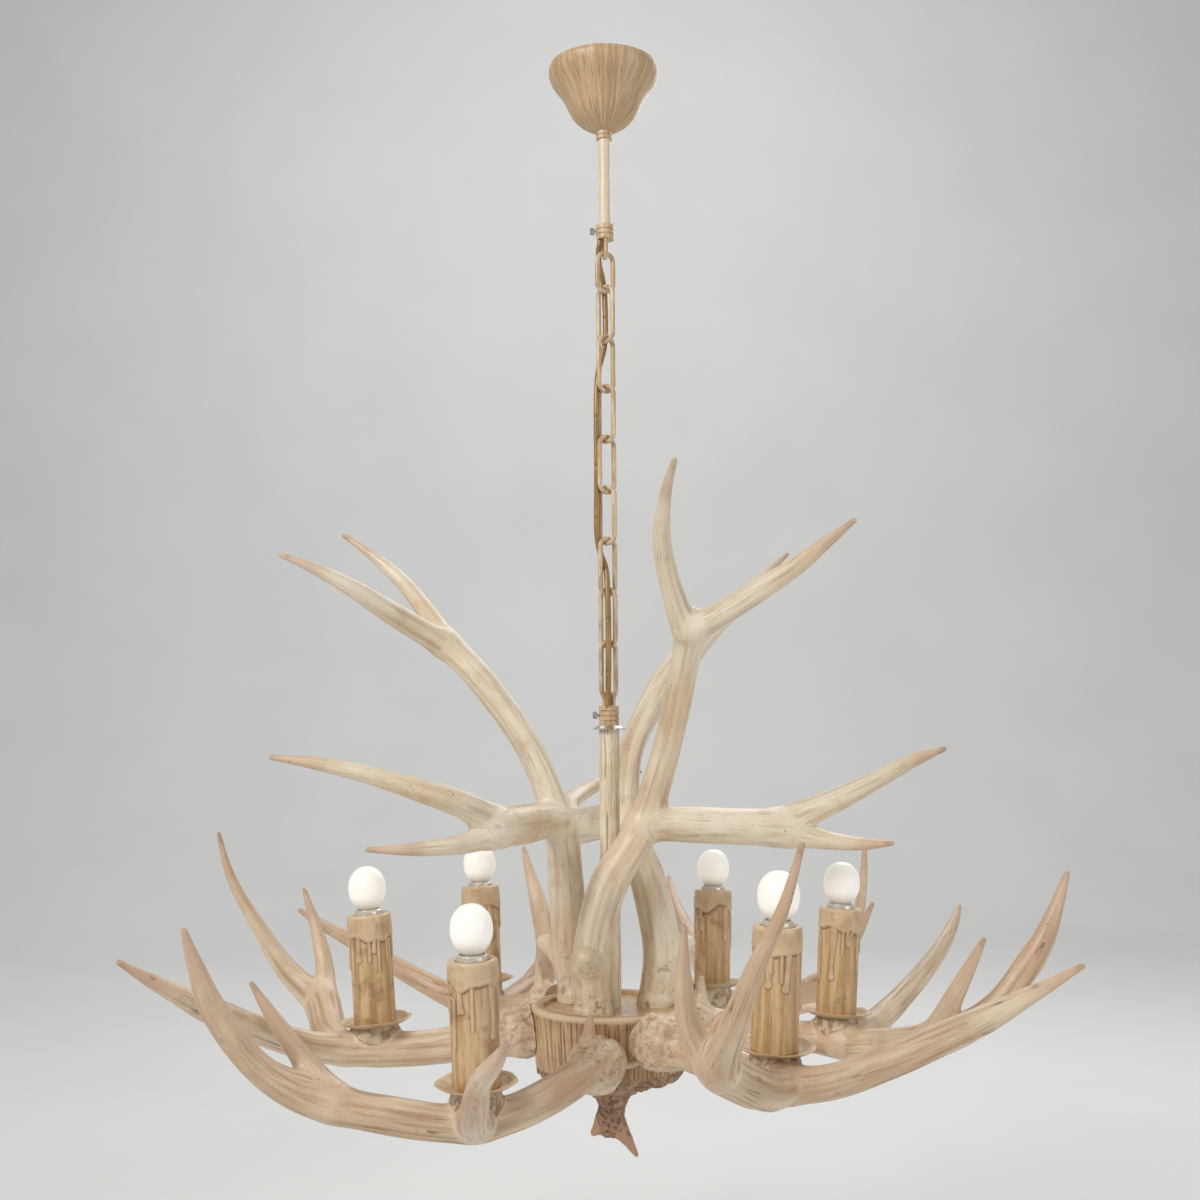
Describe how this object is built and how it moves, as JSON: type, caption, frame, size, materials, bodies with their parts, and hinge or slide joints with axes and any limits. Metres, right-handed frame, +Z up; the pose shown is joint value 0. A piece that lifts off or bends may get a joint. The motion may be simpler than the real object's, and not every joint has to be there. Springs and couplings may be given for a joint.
{
  "type": "antler chandelier",
  "caption": "Hanging chandelier with branching antler arms around a bark-textured hub, candle-style lamps with frosted bulbs, a link chain with its cord, and a domed ceiling canopy on a stem.",
  "frame": {"origin": "centre of the mounting bar's top face, on the ceiling plane and on the fixture's axis", "axes": "+Z up towards the ceiling, +X to the right and +Y away from the viewer, seen from the front"},
  "size_m": [0.8422, 0.9086, 1.0971],
  "materials": {
    "antler": "satin, grooved, sandy bone with browner bases and tips",
    "bark": "matte, rough tan and dark brown bark texture",
    "candle_wax": "satin ochre with lighter wax drips",
    "pan_tan": "satin tan enamel",
    "cream_metal": "satin cream enamel with fine tan brush streaks",
    "amber_cord": "smooth amber brown sheath",
    "wire_insulation": "smooth white insulation",
    "steel": "zinc plated",
    "silver_metal": "polished",
    "terminal_plastic": "plain white moulding",
    "frosted_glass": "frosted, white"
  },
  "bodies": {
    "stem": {"mounting_bar": "steel", "hanger_nipple": "steel", "hanger_nuts": "steel", "terminal_block": "terminal_plastic", "stem_tube": "cream_metal", "stem_collar": "cream_metal", "stem_eye": "cream_metal", "lamp_cord": "amber_cord"},
    "canopy": {"canopy": "cream_metal", "canopy_collar": "cream_metal"},
    "stem_screw": {"stem_set_screw": "steel"},
    "link_1": {"chain_link_1": "cream_metal"},
    "link_2": {"chain_link_2": "cream_metal"},
    "link_3": {"chain_link_3": "cream_metal"},
    "link_4": {"chain_link_4": "cream_metal"},
    "link_5": {"chain_link_5": "cream_metal"},
    "link_6": {"chain_link_6": "cream_metal"},
    "link_7": {"chain_link_7": "cream_metal"},
    "link_8": {"chain_link_8": "cream_metal"},
    "link_9": {"chain_link_9": "cream_metal"},
    "fixture": {"column_loop": "cream_metal", "column_collar": "cream_metal", "column_washer": "steel", "column_nut": "steel", "hub_top_plate": "bark", "upper_antler_bolts": "steel", "finial_stud": "steel", "arm_pipes": "steel", "pipe_nuts": "steel", "candle_rods": "steel", "candle_nuts": "steel", "wire_connector": "terminal_plastic", "lamp_sockets": "terminal_plastic", "socket_rings": "silver_metal", "arm_wires": "wire_insulation", "column_tube": "bark", "hub_shell": "bark", "hub_root": "bark", "drip_pans": "pan_tan", "candle_sleeves": "candle_wax", "finial_antler": "antler", "lower_antler_right": "antler", "lower_antler_back_right": "antler", "lower_antler_back_left": "antler", "lower_antler_left": "antler", "lower_antler_front_left": "antler", "lower_antler_front_right": "antler", "upper_antler_left": "antler", "upper_antler_front": "antler", "upper_antler_back": "antler"},
    "column_screw": {"column_set_screw": "steel"},
    "bulb_right": {"bulb_right": "frosted_glass"},
    "bulb_back_right": {"bulb_back_right": "frosted_glass"},
    "bulb_back_left": {"bulb_back_left": "frosted_glass"},
    "bulb_left": {"bulb_left": "frosted_glass"},
    "bulb_front_left": {"bulb_front_left": "frosted_glass"},
    "bulb_front_right": {"bulb_front_right": "frosted_glass"}
  },
  "joints": [
    {"name": "canopy_slide", "type": "slide", "parent": "stem", "child": "canopy", "axis": [0, 0, 1], "range_m": [-0.085, 0]},
    {"name": "stem_screw_turn", "type": "hinge", "parent": "stem", "child": "stem_screw", "pos_m": [-0.0092, 0, -0.1745], "axis": [-1, 0, 0], "range_deg": [0, 720]},
    {"name": "chain_swing_1", "type": "hinge", "parent": "stem", "child": "link_1", "pos_m": [0, 0, -0.2023], "axis": [-0.1736, 0.9848, 0], "range_deg": [-8, 8], "deforming": ["lamp_cord"]},
    {"name": "chain_swing_2", "type": "hinge", "parent": "link_1", "child": "link_2", "pos_m": [0, 0, -0.23775], "axis": [0.9063, 0.4226, 0], "range_deg": [-8, 8], "deforming": ["lamp_cord"]},
    {"name": "chain_swing_3", "type": "hinge", "parent": "link_2", "child": "link_3", "pos_m": [0, 0, -0.28975], "axis": [-0.809, 0.5878, 0], "range_deg": [-8, 8], "deforming": ["lamp_cord"]},
    {"name": "chain_swing_4", "type": "hinge", "parent": "link_3", "child": "link_4", "pos_m": [0, 0, -0.34175], "axis": [0.809, 0.5878, 0], "range_deg": [-8, 8], "deforming": ["lamp_cord"]},
    {"name": "chain_swing_5", "type": "hinge", "parent": "link_4", "child": "link_5", "pos_m": [0, 0, -0.39375], "axis": [-0.809, 0.5878, 0], "range_deg": [-8, 8], "deforming": ["lamp_cord"]},
    {"name": "chain_swing_6", "type": "hinge", "parent": "link_5", "child": "link_6", "pos_m": [0, 0, -0.44575], "axis": [0.809, 0.5878, 0], "range_deg": [-8, 8], "deforming": ["lamp_cord"]},
    {"name": "chain_swing_7", "type": "hinge", "parent": "link_6", "child": "link_7", "pos_m": [0, 0, -0.49775], "axis": [-0.809, 0.5878, 0], "range_deg": [-8, 8], "deforming": ["lamp_cord"]},
    {"name": "chain_swing_8", "type": "hinge", "parent": "link_7", "child": "link_8", "pos_m": [0, 0, -0.54975], "axis": [0.809, 0.5878, 0], "range_deg": [-8, 8], "deforming": ["lamp_cord"]},
    {"name": "chain_swing_9", "type": "hinge", "parent": "link_8", "child": "link_9", "pos_m": [0, 0, -0.60175], "axis": [-0.809, 0.5878, 0], "range_deg": [-8, 8], "deforming": ["lamp_cord"]},
    {"name": "fixture_swing", "type": "hinge", "parent": "link_9", "child": "fixture", "pos_m": [0, 0, -0.65375], "axis": [0.809, 0.5878, 0], "range_deg": [-8, 8], "deforming": ["lamp_cord"]},
    {"name": "column_screw_turn", "type": "hinge", "parent": "fixture", "child": "column_screw", "pos_m": [-0.01, 0, -0.6702], "axis": [-1, 0, 0], "range_deg": [0, 720]},
    {"name": "bulb_turn_right", "type": "hinge", "parent": "fixture", "child": "bulb_right", "pos_m": [0.22441, 0.03155, -0.97033], "axis": [0.0696, 0.0049, 0.9976], "range_deg": [0, 1260]},
    {"name": "bulb_turn_back_right", "type": "hinge", "parent": "fixture", "child": "bulb_back_right", "pos_m": [0.1146, 0.20979, -0.97216], "axis": [0.0306, 0.0627, 0.9976], "range_deg": [0, 1260]},
    {"name": "bulb_turn_back_left", "type": "hinge", "parent": "fixture", "child": "bulb_back_left", "pos_m": [-0.14115, 0.19507, -0.96397], "axis": [-0.039, 0.0578, 0.9976], "range_deg": [0, 1260]},
    {"name": "bulb_turn_left", "type": "hinge", "parent": "fixture", "child": "bulb_left", "pos_m": [-0.2281, -0.01636, -0.96645], "axis": [-0.0696, -0.0049, 0.9976], "range_deg": [0, 1260]},
    {"name": "bulb_turn_front_left", "type": "hinge", "parent": "fixture", "child": "bulb_front_left", "pos_m": [-0.11283, -0.21479, -0.97842], "axis": [-0.0306, -0.0627, 0.9976], "range_deg": [0, 1260]},
    {"name": "bulb_turn_front_right", "type": "hinge", "parent": "fixture", "child": "bulb_front_right", "pos_m": [0.13587, -0.19452, -0.95542], "axis": [0.039, -0.0578, 0.9976], "range_deg": [0, 1260]}
  ]
}
